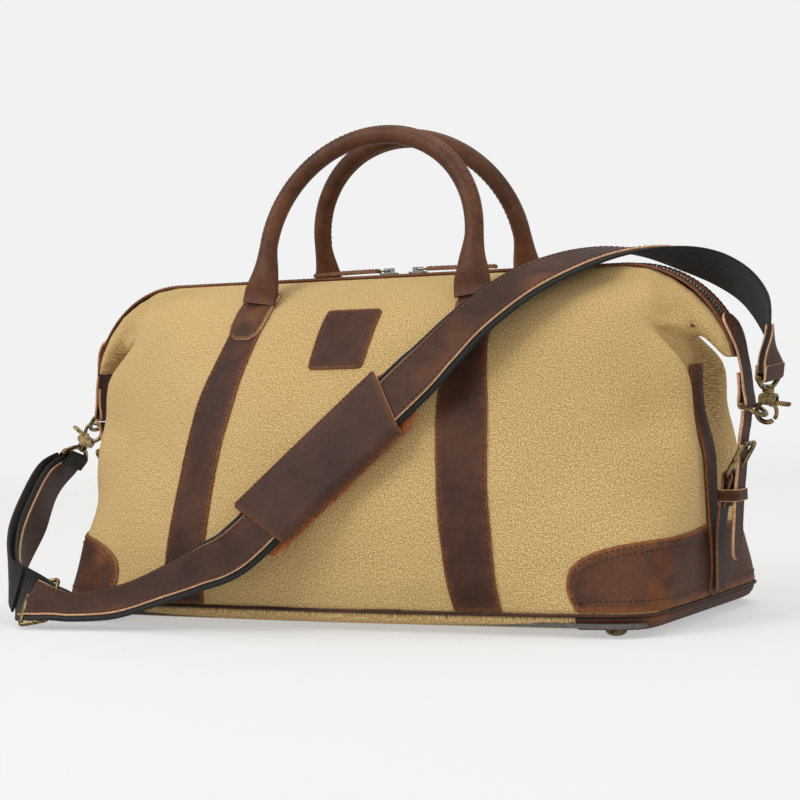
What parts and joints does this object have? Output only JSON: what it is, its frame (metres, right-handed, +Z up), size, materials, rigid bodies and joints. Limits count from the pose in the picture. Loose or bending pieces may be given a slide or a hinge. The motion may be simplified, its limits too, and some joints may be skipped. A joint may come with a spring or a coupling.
{
  "type": "travel bag",
  "caption": "Canvas and leather zip-top travel bag with rolled handles, buckled end belts and a padded shoulder strap.",
  "frame": {"origin": "centre of the underside of the middle foot, on the ground, under the middle of the base", "axes": "+X along the bag, -Y out of the front, +Z up"},
  "size_m": [0.6106, 0.3008, 0.3572],
  "materials": {
    "canvas": "woven heather canvas",
    "lining": "plain woven lining",
    "board": "stiff sheet",
    "rope": "twisted cord",
    "piping": "canvas piping",
    "leather": "waxed pull-up leather",
    "strap_leather": "waxed pull-up leather",
    "pad_leather": "waxed pull-up leather",
    "zip_tape": "woven tape",
    "zip_metal": "antique nickel",
    "slider_metal": "gunmetal",
    "brass": "antique brass",
    "webbing": "cotton webbing"
  },
  "bodies": {
    "bag": {"back_left_handle_tab": "leather", "back_left_strap": "leather", "back_panel": "canvas", "back_right_handle_tab": "leather", "back_right_strap": "leather", "base_board": "board", "base_panel": "canvas", "base_piping": "piping", "blank_patch": "leather", "feet": "brass", "front_left_handle_tab": "leather", "front_left_strap": "leather", "front_panel": "canvas", "front_right_handle_tab": "leather", "front_right_strap": "leather", "inner_pocket": "lining", "left_anchor_strap": "leather", "left_belt": "leather", "left_belt_keeper": "leather", "left_end_patch": "leather", "left_end_strip": "leather", "left_strap_loop": "brass", "left_zip_end_tab": "leather", "lining": "lining", "right_anchor_strap": "leather", "right_belt": "leather", "right_belt_keeper": "leather", "right_end_patch": "leather", "right_end_strip": "leather", "right_strap_loop": "brass", "right_zip_end_tab": "leather", "shoulder_facing": "strap_leather", "shoulder_webbing": "webbing", "strap_adjuster": "brass", "zip_facings": "leather", "zip_tapes": "zip_tape", "zip_teeth": "zip_metal"},
    "front_handle": {"front_handle": "leather", "front_handle_core": "rope"},
    "back_handle": {"back_handle": "leather", "back_handle_core": "rope"},
    "left_slider": {"left_zip_slider": "slider_metal"},
    "left_pull": {"left_pull_ring": "slider_metal", "left_zip_pull": "leather"},
    "left_d_ring": {"left_d_ring": "brass"},
    "left_hook": {"left_hook_body": "brass"},
    "left_gate": {"left_hook_gate": "brass"},
    "left_buckle": {"left_buckle_frame": "brass"},
    "left_prong": {"left_prong": "brass"},
    "right_slider": {"right_zip_slider": "slider_metal"},
    "right_pull": {"right_pull_ring": "slider_metal", "right_zip_pull": "leather"},
    "right_d_ring": {"right_d_ring": "brass"},
    "right_hook": {"right_hook_body": "brass"},
    "right_gate": {"right_hook_gate": "brass"},
    "right_buckle": {"right_buckle_frame": "brass"},
    "right_prong": {"right_prong": "brass"},
    "shoulder_pad": {"shoulder_pad": "pad_leather"}
  },
  "joints": [
    {"name": "front_handle_fold", "type": "hinge", "parent": "bag", "child": "front_handle", "pos_m": [0, -0.052, 0.233], "axis": [1, 0, 0], "range_deg": [-4, 90]},
    {"name": "back_handle_fold", "type": "hinge", "parent": "bag", "child": "back_handle", "pos_m": [0, 0.052, 0.233], "axis": [-1, 0, 0], "range_deg": [-4, 90]},
    {"name": "left_zip_slide", "type": "slide", "parent": "bag", "child": "left_slider", "axis": [-1, 0, 0], "range_m": [0, 0.16]},
    {"name": "left_pull_swing", "type": "hinge", "parent": "left_slider", "child": "left_pull", "pos_m": [-0.006, 0, 0.252], "axis": [0, 1, 0], "range_deg": [0, 90]},
    {"name": "right_zip_slide", "type": "slide", "parent": "bag", "child": "right_slider", "axis": [1, 0, 0], "range_m": [0, 0.03]},
    {"name": "right_pull_swing", "type": "hinge", "parent": "right_slider", "child": "right_pull", "pos_m": [0.018, 0, 0.252], "axis": [0, -1, 0], "range_deg": [0, 90]},
    {"name": "left_d_ring_swing", "type": "hinge", "parent": "bag", "child": "left_d_ring", "pos_m": [-0.2682, 0, 0.148], "axis": [0, 1, 0], "range_deg": [-12, 3]},
    {"name": "left_hook_swivel", "type": "hinge", "parent": "bag", "child": "left_hook", "pos_m": [-0.2796, -0.0006, 0.1356], "axis": [-0.5721, -0.3011, -0.7629], "range_deg": [-10, 10]},
    {"name": "left_gate_spring", "type": "hinge", "parent": "left_hook", "child": "left_gate", "pos_m": [-0.28603, -0.00257, 0.13303], "axis": [-0.2031, 0.9532, -0.2239], "range_deg": [0, 12], "stiffness_Nm_per_rad": 0.03, "springref_deg": -11.46},
    {"name": "left_buckle_swing", "type": "hinge", "parent": "bag", "child": "left_buckle", "pos_m": [-0.256, 0, 0.099], "axis": [0, -1, 0], "range_deg": [0, 8]},
    {"name": "left_prong_swing", "type": "hinge", "parent": "left_buckle", "child": "left_prong", "pos_m": [-0.256, 0, 0.099], "axis": [0, -1, 0], "range_deg": [0, 10]},
    {"name": "right_d_ring_swing", "type": "hinge", "parent": "bag", "child": "right_d_ring", "pos_m": [0.2682, 0, 0.148], "axis": [0, -1, 0], "range_deg": [-4, 12]},
    {"name": "right_hook_swivel", "type": "hinge", "parent": "bag", "child": "right_hook", "pos_m": [0.2824, 0, 0.1426], "axis": [0.13, -0.06, 0.9897], "range_deg": [-10, 10]},
    {"name": "right_gate_spring", "type": "hinge", "parent": "right_hook", "child": "right_gate", "pos_m": [0.28678, -0.00049, 0.1483], "axis": [0.0396, 0.9977, 0.0553], "range_deg": [0, 12], "stiffness_Nm_per_rad": 0.03, "springref_deg": -11.46},
    {"name": "right_buckle_swing", "type": "hinge", "parent": "bag", "child": "right_buckle", "pos_m": [0.256, 0, 0.099], "axis": [0, 1, 0], "range_deg": [0, 8]},
    {"name": "right_prong_swing", "type": "hinge", "parent": "right_buckle", "child": "right_prong", "pos_m": [0.256, 0, 0.099], "axis": [0, 1, 0], "range_deg": [0, 10]},
    {"name": "shoulder_pad_slide", "type": "slide", "parent": "bag", "child": "shoulder_pad", "axis": [0.7106, 0.2317, 0.6643], "range_m": [-0.015, 0.015]}
  ]
}
